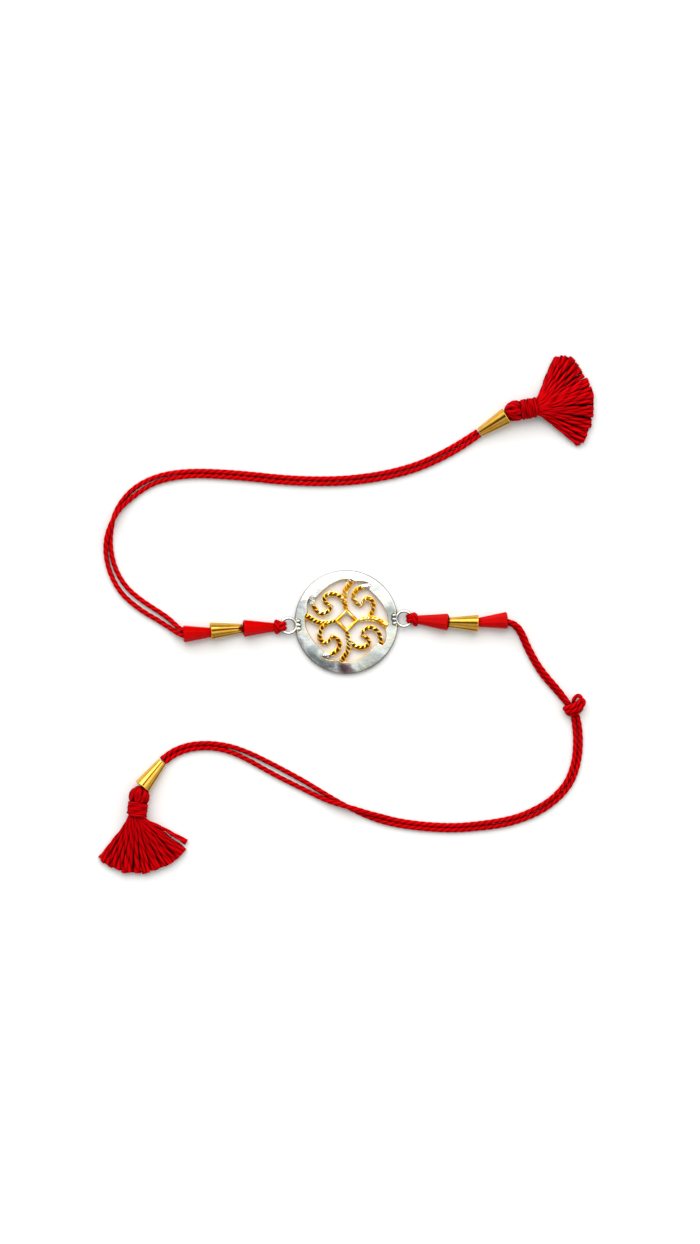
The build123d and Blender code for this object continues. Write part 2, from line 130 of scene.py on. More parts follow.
def laid_threads(name, lines, widths, lay, plies=3, starts=None, depths=None):
    """Mesh of twisted threads along lines: a section of plies that turns steadily. Its UV map has the turns
    along the thread as U, and the way round it as V. A width is one number or one for each point. Depths are
    each line's range of how deep it lies in the bundle, from 0 for the top to 1, and set its painted shade."""
    curve = bpy.data.curves.new(name, "CURVE")
    curve.dimensions = "3D"
    curve.twist_mode = "MINIMUM"
    curve.bevel_mode = "OBJECT"
    curve.bevel_object = ply_sections[plies]
    curve.use_fill_caps = True
    turns = []
    for index, line in enumerate(lines):
        width = widths[index]
        spline = curve.splines.new("POLY")
        spline.points.add(len(line) - 1)
        reached = distances(line)
        for number, (control, point) in enumerate(zip(spline.points, line)):
            control.co = (*point, 1)
            control.tilt = -tau * reached[number] / lay + (starts[index] if starts else 0)
            control.radius = width[number] if isinstance(width, list) else width
        spline.use_smooth = True
        turns.append(reached[-1] / lay)
    thread = bpy.data.objects.new(name, curve)
    bpy.context.collection.objects.link(thread)
    graph = bpy.context.evaluated_depsgraph_get()
    mesh = bpy.data.meshes.new_from_object(thread.evaluated_get(graph))
    bpy.data.objects.remove(thread)
    bpy.data.curves.remove(curve)
    # the mesh has both caps of every thread first, then each thread's side, all in the order of the lines
    samples = len(ply_sections[plies].data.splines[0].points)
    ends = [2 * samples * (index + 1) for index in range(len(lines))]
    for line in lines:
        ends.append(ends[-1] + len(line) * samples)
    blocks = [bisect.bisect_right(ends, vertex) for vertex in range(len(mesh.vertices))]
    which = [block % len(lines) for block in blocks]
    shades = mesh.attributes.new("shade", "FLOAT", "POINT")
    # each thread's tone: at random, or painted shade for how deep it lies
    tones = [rng.uniform(*(depths[index] if depths else (0, 0.4))) for index in range(len(lines))]
    values = []
    for vertex, block in enumerate(blocks):
        # a deep thread's painted shade fades over its last 2.5 mm and is light on its caps, however deep it
        # lies
        left = (ends[block] - vertex) / samples if block >= len(lines) else 0
        values.append(tones[which[vertex]] * (min(1, 0.3 + 0.07 * left) if depths else 1))
    shades.data.foreach_set("value", values)
    places = mesh.uv_layers[0].data
    for loop in mesh.loops:
        places[loop.index].uv.x *= turns[which[loop.vertex_index]]
    return mesh


def piece(name, mesh, materials, scale=MM):
    """A finished object at the origin, made from a mesh or a bmesh."""
    if isinstance(mesh, bmesh.types.BMesh):
        built = bpy.data.meshes.new(name)
        mesh.to_mesh(built)
        mesh.free()
        mesh = built
    mesh.name = name
    mesh.transform(Matrix.Scale(scale, 4))
    for material in materials:
        mesh.materials.append(material)
    made = bpy.data.objects.new(name, mesh)
    bpy.context.collection.objects.link(made)
    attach(made, "root")
    return made


def open_edges(bm):
    return [edge for edge in bm.edges if edge.is_boundary]


def walled(bm):
    """Adds walls from a plate's open edges down to the surface, and returns the corners at their foot."""
    walls = bmesh.ops.extrude_edge_only(bm, edges=open_edges(bm))["geom"]
    foot = [item for item in walls if isinstance(item, bmesh.types.BMVert)]
    for corner in foot:
        corner.co.z = 0
    return foot


rng = random.Random(31)


def linear(colour):
    """Linear colour of an sRGB hex value."""
    channels = [int(colour[at:at + 2], 16) / 255 for at in (1, 3, 5)]
    return [c / 12.92 if c <= 0.04045 else ((c + 0.055) / 1.055) ** 2.4 for c in channels] + [1]


def node(tree, kind, links=(), **settings):
    """Adds a node. Settings are its properties, or its inputs by name with _ for spaces, and links are
    pairs of an input and the socket that feeds it."""
    added = tree.nodes.new(kind)
    for key, value in settings.items():
        if hasattr(added, key):
            setattr(added, key, value)
        else:
            added.inputs[int(key[1:]) if key[1:].isdigit() else key.replace("_", " ")].default_value = value
    for socket, source in links:
        tree.links.new(source, added.inputs[socket])
    return added


def new_material(name):
    material = bpy.data.materials.new(name)
    material.use_nodes = True
    tree = material.node_tree
    return material, tree, tree.nodes["Principled BSDF"]


def ramp(tree, source, *stops):
    """Colour ramp with stops of place and hex colour."""
    colours = node(tree, "ShaderNodeValToRGB", [("Fac", source)])
    elements = colours.color_ramp.elements
    while len(elements) < len(stops):
        elements.new(0.5)
    for element, (place, colour) in zip(elements, stops):
        element.position = place
        element.color = linear(colour)
    return colours.outputs["Color"]


def feed(tree, socket, value):
    """Sets a socket to a number or a colour, or links it to the socket that feeds it."""
    if isinstance(value, bpy.types.NodeSocket):
        tree.links.new(value, socket)
    else:
        socket.default_value = value


def set_inputs(tree, shader, **inputs):
    """Feeds a shader's inputs, by name with _ for spaces."""
    for key, value in inputs.items():
        feed(tree, shader.inputs[key.replace("_", " ")], value)


def math_node(tree, operation, *values):
    added = node(tree, "ShaderNodeMath", operation=operation)
    for socket, value in zip(added.inputs, values):
        feed(tree, socket, value)
    return added.outputs[0]


def ranged(tree, value, start, end, first=0.0, last=1.0, **settings):
    """A value's way from start to end, as a number from first to last."""
    return node(
        tree, "ShaderNodeMapRange", [("Value", value)],
        From_Min=start, From_Max=end, To_Min=first, To_Max=last, **settings,
    ).outputs[0]


def noise(tree, places, scale, detail, roughness=0.5):
    return node(
        tree, "ShaderNodeTexNoise", [("Vector", places)], Scale=scale, Detail=detail, Roughness=roughness
    ).outputs["Fac"]


def attribute(tree, name):
    return node(tree, "ShaderNodeAttribute", attribute_name=name).outputs["Fac"]


def blend(tree, share, colour, tint):
    """A colour mixed with a hex tint."""
    return node(
        tree, "ShaderNodeMix", [(0, share), (6, colour)], data_type="RGBA", _7=linear(tint)
    ).outputs[2]


def bump(tree, height, strength, distance):
    return node(
        tree, "ShaderNodeBump", [("Height", height)], Strength=strength, Distance=distance
    ).outputs[0]


# Twisted polyester thread, dyed red: silky filaments catch the light along each ply; the valleys between plies,
# a thread deep in a bundle and places deep between threads get painted shade
def thread_material(name, light, deep, plies):
    material, tree, shader = new_material(name)
    places = node(tree, "ShaderNodeUVMap", uv_map="UVMap").outputs["UV"]
    way_round = node(tree, "ShaderNodeSeparateXYZ", [("Vector", places)]).outputs["Y"]
    # 0 on a ply's crest and 0.5 in the valley beside it
    ply_place = math_node(tree, "FRACT", math_node(tree, "MULTIPLY", way_round, plies))
    valley = math_node(tree, "ABSOLUTE", math_node(tree, "SUBTRACT", ply_place, 0.5))
    objects = node(tree, "ShaderNodeTexCoord").outputs["Object"]
    # slow dye variation over about 6 mm
    patches = noise(tree, objects, 160.0, 2.0)
    # filaments about 0.08 mm apart, drawn coarser than the real 0.02 mm so that they show
    stretched = node(tree, "ShaderNodeMapping", [("Vector", places)], vector_type="POINT")
    stretched.inputs["Scale"].default_value = (1.5, plies * 7.0, 1)
    stretched.inputs["Rotation"].default_value = (0, 0, 0.05)
    fibres = noise(tree, stretched.outputs[0], 1.0, 3.0)
    colour = ramp(tree, patches, (0.3, light[0]), (0.7, light[1]))
    # a random tone for each thread, and painted shade for one that lies deep in a bundle
    colour = blend(tree, attribute(tree, "shade"), colour, light[2])
    # painted shade in the valleys between plies
    colour = blend(tree, ranged(tree, valley, 0.2, 0.5), colour, deep)
    # painted shade: a point enclosed within a thread's width, found by ambient occlusion, is painted darker
    open_to_air = node(tree, "ShaderNodeAmbientOcclusion", samples=8, Distance=1.3 * MM).outputs["AO"]
    colour = blend(tree, ranged(tree, open_to_air, 0.85, 0.35, last=0.94), colour, "#2E0000")
    set_inputs(
        tree, shader, Base_Color=colour, Normal=bump(tree, fibres, 0.35, 0.00006), Roughness=0.65,
        Specular_IOR_Level=0.02, Sheen_Weight=0.04, Sheen_Roughness=0.4, Sheen_Tint=linear("#FF1010"),
    )
    return material


cord_thread = thread_material("twisted cord thread", ("#DE0007", "#C80005", "#A00003"), "#620001", 3)
tassel_yarn = thread_material("twisted tassel yarn", ("#D80008", "#C60006", "#3E0001"), "#7A0002", 2)


# Places on the rim with painted reflections: angle and distance from the centre, spread in millimetres,
# strength and colour
painted_reflection_places = (
    (9, 11.2, 2.4, 0.75, "#909A98"), (174, 11.0, 3.0, 0.45, "#9CA8AC"), (226, 11.0, 1.8, 0.75, "#8C9698"),
    (243, 10.8, 2.2, 0.8, "#7E8486"), (266, 10.6, 1.5, 0.95, "#5C4048"), (274, 11.4, 1.1, 0.75, "#8A6470"),
    (302, 10.7, 3.0, 0.5, "#ACAEA2"), (98, 11.0, 2.2, 0.3, "#D8DCC0"),
)


# Silver-plated cast alloy, polished over a hammered face: broad soft dents, cool and warm tints, painted
# reflections
def silver_plate():
    material, tree, shader = new_material("polished silver plating")
    objects = node(tree, "ShaderNodeTexCoord").outputs["Object"]
    # dents about 2.5 mm across
    dents = noise(tree, objects, 360.0, 2.0)
    tints = noise(tree, objects, 240.0, 4.0, 0.6)
    colour = ramp(tree, tints, (0.32, "#D2CAD0"), (0.42, "#E4E9EA"), (0.52, "#FAFAF8"), (0.66, "#F3F4E4"))
    # painted reflections with edges that wander by about 1.2 mm; the noise adds 1.75 mm to a distance on
    # average
    edges = noise(tree, objects, 520.0, 3.0)
    for angle, out, spread, strength, tint in painted_reflection_places:
        gap = node(tree, "ShaderNodeVectorMath", [(0, objects)], operation="DISTANCE")
        gap.inputs[1].default_value = unit(angle) * out * MM + UP * 1.3 * MM
        warped = math_node(tree, "MULTIPLY_ADD", edges, 0.0035, gap.outputs["Value"])
        place = ranged(
            tree, warped, (spread + 2.9) * MM, (spread * 0.35 + 1.6) * MM, last=strength,
            interpolation_type="SMOOTHSTEP",
        )
        colour = blend(tree, place, colour, tint)
    # painted shade: rounded edges, the sides of wires and faces turned towards -Y are painted a darker brown
    normal = node(tree, "ShaderNodeNewGeometry").outputs["Normal"]
    facing = node(tree, "ShaderNodeSeparateXYZ", [("Vector", normal)]).outputs
    turned = math_node(tree, "MULTIPLY_ADD", facing["Y"], 0.22, facing["Z"])
    painted_side_shade = ramp(tree, turned, (0.0, "#B0B0B0"), (0.45, "#F0F0F0"), (0.78, "#D0D0D0"), (0.92, "#000000"))
    colour = blend(tree, painted_side_shade, colour, "#5A4434")
    # painted shade in creases and the places under a wire, found by ambient occlusion to about 0.6 mm
    painted_crease_shade = node(tree, "ShaderNodeAmbientOcclusion", samples=8, Distance=0.6 * MM).outputs["AO"]
    colour = blend(tree, ranged(tree, painted_crease_shade, 0.88, 0.5), colour, "#24170F")
    set_inputs(
        tree, shader, Base_Color=colour, Normal=bump(tree, dents, 0.75, 0.00022),
        Roughness=ranged(tree, tints, 0, 1, 0.12, 0.26), Metallic=1,
    )
    return material


# Gold-plated cast alloy, cut with a diamond tool: bright facets, with painted dark reflections in the cuts
# between them
def cut_gold():
    material, tree, shader = new_material("diamond cut gold plating")
    objects = node(tree, "ShaderNodeTexCoord").outputs["Object"]
    tints = noise(tree, objects, 700.0, 2.0)
    depth = attribute(tree, "cut")
    crest = ramp(tree, tints, (0.36, "#EC9A12"), (0.5, "#FFBC34"), (0.64, "#FFEAA0"))
    # the cuts' floors get painted dark reflections and the walls painted shade: dark, and less metallic
    set_inputs(
        tree, shader, Base_Color=blend(tree, depth, crest, "#401A00"),
        Metallic=ranged(tree, depth, 0, 1, 1.0, 0.25), Specular_IOR_Level=0.1, Roughness=0.16,
    )
    return material


# Gold-plated pressed brass, polished: long soft reflections, and painted dark reflection streaks
def bright_gold():
    material, tree, shader = new_material("polished gold plating")
    objects = node(tree, "ShaderNodeTexCoord").outputs["Object"]
    tints = noise(tree, objects, 450.0, 3.0)
    colour = ramp(tree, tints, (0.3, "#F4B23C"), (0.7, "#FFCA5C"))
    # painted reflections: dark streaks from the cone's cut attribute
    colour = blend(tree, attribute(tree, "cut"), colour, "#4A2600")
    set_inputs(tree, shader, Base_Color=colour, Metallic=1, Roughness=0.24)
    return material


# Moulded acrylic, dyed through: glossy, with faint flow marks
def red_acrylic():
    material, tree, shader = new_material("glossy red acrylic")
    objects = node(tree, "ShaderNodeTexCoord").outputs["Object"]
    flow = noise(tree, objects, 260.0, 2.0)
    colour = ramp(tree, flow, (0.3, "#B40000"), (0.7, "#C60000"))
    set_inputs(
        tree, shader, Base_Color=colour, Normal=bump(tree, flow, 0.1, 0.0001), Roughness=0.18, IOR=1.49,
        Specular_IOR_Level=0.05,
    )
    return material


silver = silver_plate()
gold_cut = cut_gold()
gold = bright_gold()
acrylic = red_acrylic()


# The cords: the route's points from the part's source, in millimetres, with the resting and crossing ones
# lifted to suit a twisted thread, which is as wide as its plies' crests, and two more through the knot. A
# point with no height of its own rests on the surface.
thread_width = 1.2
rest = 0.6
left_cord_a_route = (
    (-35.9, -2.2, 2.0), (-37.1, -2.2, 2.0), (-38.7, -1.8, 1.8), (-40.1, -0.7, 1.2), (-41.4, 0.6, 0.65),
    (-43.6, 2.2), (-46.5, 4.0), (-49.3, 6.0), (-51.7, 8.2), (-53.6, 11.0), (-54.8, 14.0), (-55.4, 17.1),
    (-55.5, 19.8), (-55.2, 22.3), (-54.7, 24.9), (-53.5, 27.4), (-51.7, 29.9), (-49.3, 32.0), (-46.6, 33.5),
    (-43.5, 34.6), (-39.9, 35.3), (-35.1, 35.6), (-29.3, 35.4), (-22.7, 34.9), (-15.6, 34.1), (-8.1, 33.7),
    (-1.0, 33.8), (5.6, 34.5), (11.7, 35.7), (17.3, 37.4), (22.0, 39.6), (25.8, 41.7), (28.5, 43.4, 0.8),
    (30.8, 44.9, 1.15),
)
left_cord_b_route = (
    (-35.9, -3.3, 2.0), (-37.1, -3.3, 2.0), (-38.7, -3.05, 1.8), (-40.1, -2.25, 1.15), (-41.9, -1.1),
    (-44.5, 0.6), (-47.5, 2.3), (-50.5, 4.5), (-53.0, 6.9), (-54.9, 10.0), (-56.1, 13.3), (-56.6, 16.4, 0.65),
    (-56.5, 19.2, 1.35), (-55.8, 21.8, 1.84), (-54.7, 24.3, 1.84), (-53.3, 26.6, 1.45), (-51.3, 28.5, 0.9),
    (-48.7, 30.6), (-46.0, 32.3), (-43.1, 33.4), (-39.6, 34.1), (-34.9, 34.5), (-29.3, 34.2), (-22.7, 33.7),
    (-15.6, 32.9), (-8.1, 32.5), (-0.9, 32.6), (5.8, 33.3), (12.0, 34.5), (17.8, 36.3), (22.6, 38.5),
    (26.4, 40.6), (29.1, 42.4, 0.8), (31.4, 44.0, 1.15),
)
right_cord_a_route = (
    (35.3, 0.2, 2.58), (36.5, 0.2, 2.58), (38.0, 0.2, 2.55), (39.5, -0.25, 2.3), (40.8, -1.4, 1.9),
    (41.7, -3.0, 1.6), (42.4, -4.8, 1.52), (43.3, -6.6, 1.52), (44.5, -8.9, 1.45), (46.1, -11.3, 1.4),
    (47.9, -13.5, 1.5), (49.8, -15.7, 1.52), (51.4, -17.8, 1.52), (52.6, -19.6, 1.5), (53.2, -21.0, 1.1),
    (53.4, -22.6), (53.7, -24.8), (53.9, -27.5), (53.8, -30.1), (53.5, -32.7), (52.8, -35.1), (51.8, -37.4),
    (50.3, -39.4), (48.5, -41.2), (46.3, -42.8), (43.7, -44.2), (40.7, -45.5), (37.3, -46.4), (33.7, -47.0),
    (29.8, -47.5), (25.7, -47.8), (21.3, -47.7), (16.6, -47.3), (11.9, -46.6), (8.2, -45.6),
    (5.1, -44.8, 1.35), (2.4, -43.9, 1.84), (-0.2, -43.2, 1.84), (-2.8, -42.5, 1.45), (-5.8, -41.4, 0.7),
    (-10.2, -39.2), (-14.7, -37.0), (-18.8, -34.8), (-22.8, -32.5), (-26.6, -30.7), (-30.2, -29.7),
    (-33.7, -29.5), (-36.8, -29.9), (-39.2, -30.7), (-41.1, -31.7, 0.8), (-42.7, -33.0, 1.15),
)
right_cord_b_route = (
    (35.3, 0.2, 1.5), (36.5, 0.2, 1.5), (37.95, -0.05, 1.38), (39.4, -0.8, 1.0), (40.5, -2.1), (41.2, -3.5),
    (41.9, -5.2), (42.8, -7.1), (44.0, -9.3), (45.5, -11.8), (47.3, -14.0), (49.3, -16.2), (51.0, -18.2),
    (52.6, -20.0), (53.9, -21.3), (54.5, -22.5), (54.9, -24.7), (55.1, -27.5), (55.0, -30.3), (54.6, -33.0),
    (53.9, -35.6), (52.8, -38.0), (51.1, -40.3), (49.2, -42.1), (46.8, -43.9), (44.1, -45.4), (41.0, -46.6),
    (37.6, -47.6), (33.9, -48.2), (29.9, -48.6), (25.7, -48.9), (21.3, -48.8), (16.5, -48.4), (11.7, -47.7),
    (7.7, -46.7), (4.6, -45.5), (2.2, -44.4), (-0.1, -43.2), (-2.6, -41.8), (-5.8, -39.9), (-9.5, -37.6),
    (-13.7, -35.3), (-17.9, -33.1), (-22.1, -31.0), (-26.2, -29.4), (-30.0, -28.6), (-33.7, -28.4),
    (-37.1, -28.8), (-39.8, -29.7), (-41.8, -30.8, 0.8), (-43.5, -32.2, 1.15),
)
cord_lay = 5.0
cord_lines = {}
cords = {}
for name, route, nodes in (
    ("left_strand_a", left_cord_a_route, ("left_cord_a",)),
    ("left_strand_b", left_cord_b_route, ("left_cord_b",)),
    ("right_strand_a", right_cord_a_route, ("right_cord_a_upper", "right_cord_a_lower")),
    ("right_strand_b", right_cord_b_route, ("right_cord_b_upper", "right_cord_b_lower")),
):
    line = evenly(smooth_line([Vector((*point, rest)[:3]) * MM for point in route]), 0.3 * MM)
    mesh = laid_threads(name, [line], [thread_width * MM], cord_lay * MM)
    cord_lines[name] = line
    cords[name] = piece(name, mesh, [cord_thread], scale=1)
    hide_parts(*nodes)


# Cones and beads: the same chains and seats as in the part's source
ConeShape = namedtuple("ConeShape", "length tip mouth tip_bore mouth_bore turn")
red_bead = ConeShape(length=7.3, tip=2.1, mouth=4.2, tip_bore=1.3, mouth_bore=3.2, turn=15.0)
gold_cone = ConeShape(length=7.5, tip=2.3, mouth=4.3, tip_bore=1.62, mouth_bore=3.48, turn=22.5)
cone_sides = 8
floor_gap = 0.02
running_gap = 0.05
ring_outer, ring_wire, ring_height, ring_turn, ring_overlap = 4.3, 0.75, 1.35, 3.5, 0.78
medallion_radius = 12.2
ring_mean = (ring_outer - ring_wire) / 2
ring_reach = medallion_radius + ring_outer / 2 - ring_overlap
Place = namedtuple("Place", "tip axis side")
Bead = namedtuple("Bead", "name shape heading gap side_step")
left_beads = (
    Bead("left_inner_cone", red_bead, 182.2, 0.12, 0.0),
    Bead("left_gold_cone", gold_cone, 185.0, 0.3, 0.0),
    Bead("left_outer_cone", red_bead, 183.2, -0.85, 0.3),
)
right_beads = (
    Bead("right_inner_cone", red_bead, -4.9, 0.25, 0.0),
    Bead("right_gold_cone", gold_cone, -2.0, -0.4, 0.0),
    Bead("right_outer_cone", red_bead, 3.8, -0.4, 0.25),
)


def cone_lift(shape, diameter):
    """Height of a cone's axis where its nearest corner rests on the surface."""
    return diameter / 2 * cos(radians(shape.turn)) + floor_gap


def cone_place(shape, tip, heading):
    """A cone's tip, its axis towards a mouth that rests on the surface, and its level side."""
    rise = cone_lift(shape, shape.mouth) - tip.z
    axis = unit(heading) * sqrt(shape.length**2 - rise**2) + UP * rise
    return Place(tip, axis.normalized(), unit(heading + 90))


def chain_places(start, beads):
    """Places of a row of beads: each follows the mouth of the one before, or is seated in it."""
    places = []
    mouth = start
    before = None
    for bead in beads:
        height = cone_lift(bead.shape, bead.shape.tip)
        if bead.gap < 0:
            taper = (before.mouth_bore - before.tip_bore) / 2 / before.length
            slack = before.mouth_bore / 2 + bead.gap * taper - bead.shape.tip / 2 - running_gap
            height = max(height, mouth.z - sqrt(max(slack**2 - bead.side_step**2, 0)))
        tip = mouth + unit(bead.heading) * bead.gap + unit(bead.heading + 90) * bead.side_step
        tip.z = height
        places.append(cone_place(bead.shape, tip, bead.heading))
        mouth = places[-1].tip + places[-1].axis * bead.shape.length
        before = bead.shape
    return places


# how dark the painted reflection streaks on a cone are at 24 steps over its upper half, from the picture's
# upper side to its lower, and how much of that its lip keeps
painted_reflection_streaks = (
    0.0, 0.0, 0.3, 0.6, 0.15, 0.1, 0.45, 0.4, 0.05, 0.0, 0.0, 0.9,
    1.0, 0.1, 0.2, 0.35, 0.5, 0.4, 0.6, 1.0, 0.8, 0.1, 0.0, 0.0,
)
lip_reflection_share = 0.3


def fluted_cone(name, shape, place, replaced):
    """Pressed gold cone: sides that swell a little, rounded corners, a rolled lip and a thin wall."""
    columns = len(painted_reflection_streaks) * 2
    bm = bmesh.new()
    bmesh.ops.create_circle(bm, segments=columns, radius=0.5)
    # height and diameter of each ring of points, up the outside and down the bore
    stations = (
        (0.10, shape.tip), (shape.length - 0.25, shape.mouth - 0.06), (shape.length - 0.1, shape.mouth),
        (shape.length, shape.mouth - 0.12), (shape.length - 0.05, shape.mouth_bore),
        (shape.length - 1.2, shape.mouth_bore - 0.3), (0.10, shape.tip_bore), (0, shape.tip_bore + 0.12),
        (0, shape.tip - 0.12),
    )
    for corner in bm.verts:
        turn = atan2(corner.co.y, corner.co.x) - radians(shape.turn)
        off = (turn * cone_sides / tau) % 1
        side = cos((off - 0.5) * tau / cone_sides)
        corner.co *= min(cos(pi / cone_sides) / side, 0.99) + 0.015 * sin(pi * off) ** 2
        corner.co = Vector((corner.co.x * shape.tip, corner.co.y * shape.tip, stations[0][0]))
    ring = list(bm.edges)
    width = shape.tip
    for station, diameter in stations[1:]:
        grown = bmesh.ops.extrude_edge_only(bm, edges=ring)["geom"]
        corners = [item for item in grown if isinstance(item, bmesh.types.BMVert)]
        ring = [item for item in grown if isinstance(item, bmesh.types.BMEdge)]
        for corner in corners:
            corner.co = Vector((corner.co.x * diameter / width, corner.co.y * diameter / width, station))
        width = diameter
    first = [edge for edge in open_edges(bm) if edge not in ring]
    bmesh.ops.bridge_loops(bm, edges=first + [edge for edge in ring if edge.is_valid])
    bmesh.ops.recalc_face_normals(bm, faces=bm.faces)
    sharp = cos(radians(35))
    for edge in bm.edges:
        if len(edge.link_faces) == 2:
            edge.smooth = edge.link_faces[0].normal.dot(edge.link_faces[1].normal) > sharp
    for face in bm.faces:
        face.smooth = True
    # painted reflections: dark streaks by angle, counted from the side towards the picture's upper side
    depth = bm.verts.layers.float.new("cut")
    for corner in bm.verts:
        turn = degrees(atan2(corner.co.y, corner.co.x)) % 360
        step = round(min(turn, 360 - turn) / 180 * len(painted_reflection_streaks))
        if place.side.y < 0:
            step = len(painted_reflection_streaks) - step
        lip = corner.co.z > shape.length - 0.12
        corner[depth] = painted_reflection_streaks[min(step, len(painted_reflection_streaks) - 1)] * (lip_reflection_share if lip else 1)
    turned = Matrix((place.side, place.axis.cross(place.side), place.axis)).transposed().to_4x4()
    turned.translation = place.tip
    bmesh.ops.transform(bm, matrix=turned, verts=bm.verts)
    made = piece(name, bm, [gold])
    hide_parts(replaced)
    return made


# each side: its ring's heading, its beads, the hitch bar's distance from the ring's centre, sideways step,
# length and width, and the route of the strand that follows the beads
sides = (
    ("left", ring_turn + 180, left_beads, 2.75, 0.1, 3.0, 1.1, left_cord_a_route),
    ("right", ring_turn, right_beads, 2.55, -0.4, 2.7, 0.72, right_cord_a_route),
)
core_width, hitch_width, hitch_lay, hitch_gap, bar_inset = 1.15, 1.28, 3.6, 0.36, 0.35
for side_name, ring_heading, beads, bar_reach, bar_step, bar_length, bar_width, strand in sides:
    outwards = unit(ring_heading)
    aside = unit(ring_heading + 90)
    ring_centre = outwards * ring_reach + UP * ring_height
    bar_centre = ring_centre + outwards * bar_reach + aside * bar_step
    places = chain_places(bar_centre + outwards * bar_width / 2, beads)
    for bead, place in zip(beads, places):
        if bead.shape is gold_cone:
            fluted_cone(f"{side_name}_fluted_cone", bead.shape, place, bead.name)
        else:
            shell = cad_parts[bead.name]
            shell.data.materials.clear()
            shell.data.materials.append(acrylic)

    # Thread through the beads, and its hitch: two legs over the ring, back under it and across as a bar
    tips = [place.tip for place in places]
    first = Vector((bar_centre.x, bar_centre.y, tips[0].z))
    end = Vector(strand[0])
    core = [first, *tips, tips[-1].lerp(end, 0.5), end + Vector((0, -0.5, -0.2))]
    core = evenly(smooth_line(core), 0.3)
    inner = ring_mean - ring_wire / 2 - hitch_gap
    outer = ring_mean + ring_wire / 2 + hitch_gap
    half = bar_length / 2 - bar_inset
    # one leg and half the bar: distance out from the ring's centre, across, sideways step and height
    leg = (
        (bar_reach + 0.7, 0.25, bar_step, 0.0), (bar_reach, 0.3, bar_step, -0.05), (outer - 0.1, 0.42, 0, 0.5),
        (ring_mean, 0.48, 0, 0.9), (inner, 0.48, 0, 0.4), (inner, 0.48, 0, -0.35), (ring_mean, 0.55, 0, -0.8),
        (outer, 0.8, 0, -0.65), (bar_reach, half, bar_step, -0.4), (bar_reach + 0.1, half, bar_step, 0.3),
        (bar_reach - 0.1, 0.4, bar_step, 0.85),
    )
    hitch = [
        ring_centre + outwards * out + aside * (hand * across + step) + UP * height
        for hand, stops in ((1, leg), (-1, leg[::-1])) for out, across, step, height in stops
    ]
    hitch = evenly(smooth_line(hitch), 0.18)
    mesh = laid_threads(f"{side_name}_hitch", [core, hitch], [core_width, hitch_width], hitch_lay)
    made = piece(f"{side_name}_threading", mesh, [cord_thread])
    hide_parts(f"{side_name}_bead_thread")


# Medallion: hammered silver rim, diamond cut scrolls, lugs and soldered rings
medallion_thickness = 1.4
# the rim falls away towards its outer edge
crown_start, crown_drop = 8.9, 0.28
outer_round, inner_round = 0.4, 0.15
scroll_centre = Vector((0.04, 0.33, 0))
rim_edge_table = (
    ((83.8, 0.801), (99.2, 0.788), (115.0, 0.753), (124.5, 0.734), (134.7, 0.728), (143.8, 0.730)),
    ((145.8, 0.834), (151.3, 0.836), (158.0, 0.817), (163.2, 0.790), (167.8, 0.761)),
)
arm_table = (
    (0.104, 0.850, 1.20), (0.069, 0.726, 1.10), (0.019, 0.656, 1.00), (-0.025, 0.575, 1.00),
    (-0.046, 0.483, 1.00), (-0.044, 0.392, 0.95), (-0.027, 0.299, 0.85), (0.000, 0.208, 0.70),
)
hook_table = (
    (-0.044, 0.357, 0.70), (-0.081, 0.425, 0.85), (-0.154, 0.486, 0.88), (-0.257, 0.521, 0.88),
    (-0.353, 0.512, 0.88), (-0.421, 0.459, 0.88), (-0.436, 0.394, 0.85), (-0.402, 0.340, 0.80),
    (-0.334, 0.301, 0.62), (-0.276, 0.286, 0.20),
)
sweep_table = (
    (-0.300, 0.300, 0.40), (-0.315, 0.216, 0.80), (-0.373, 0.158, 0.85), (-0.454, 0.127, 0.88),
    (-0.544, 0.151, 0.88), (-0.618, 0.232, 0.88), (-0.656, 0.328, 0.85), (-0.668, 0.415, 0.85),
    (-0.672, 0.490, 0.85),
)
lozenge_table = ((0.000, 0.199, 0.67), (0.089, 0.097, 0.67), (0.199, 0.000, 0.67))
band_width, band_height, band_crown, cut_depth = 1.35, 1.42, 0.2, 0.2
arm_dip, arm_dip_length = 0.16, 0.9
# how dark the gold is painted on the rim's inner walls and on the bands' walls, as painted shade
rim_shade, wall_shade = 0.45, 0.25


def rim_edge(angle):
    """Distance from the scrolls' centre to the rim's inner edge, as a share of the radius."""
    stops = [stop for stretch in rim_edge_table for stop in stretch]
    stops.append((stops[0][0] + 90, stops[0][1]))
    angle = (angle - stops[0][0]) % 90 + stops[0][0]
    for (start, here), (end, following) in zip(stops, stops[1:]):
        if angle <= end:
            return here + (following - here) * (angle - start) / (end - start)


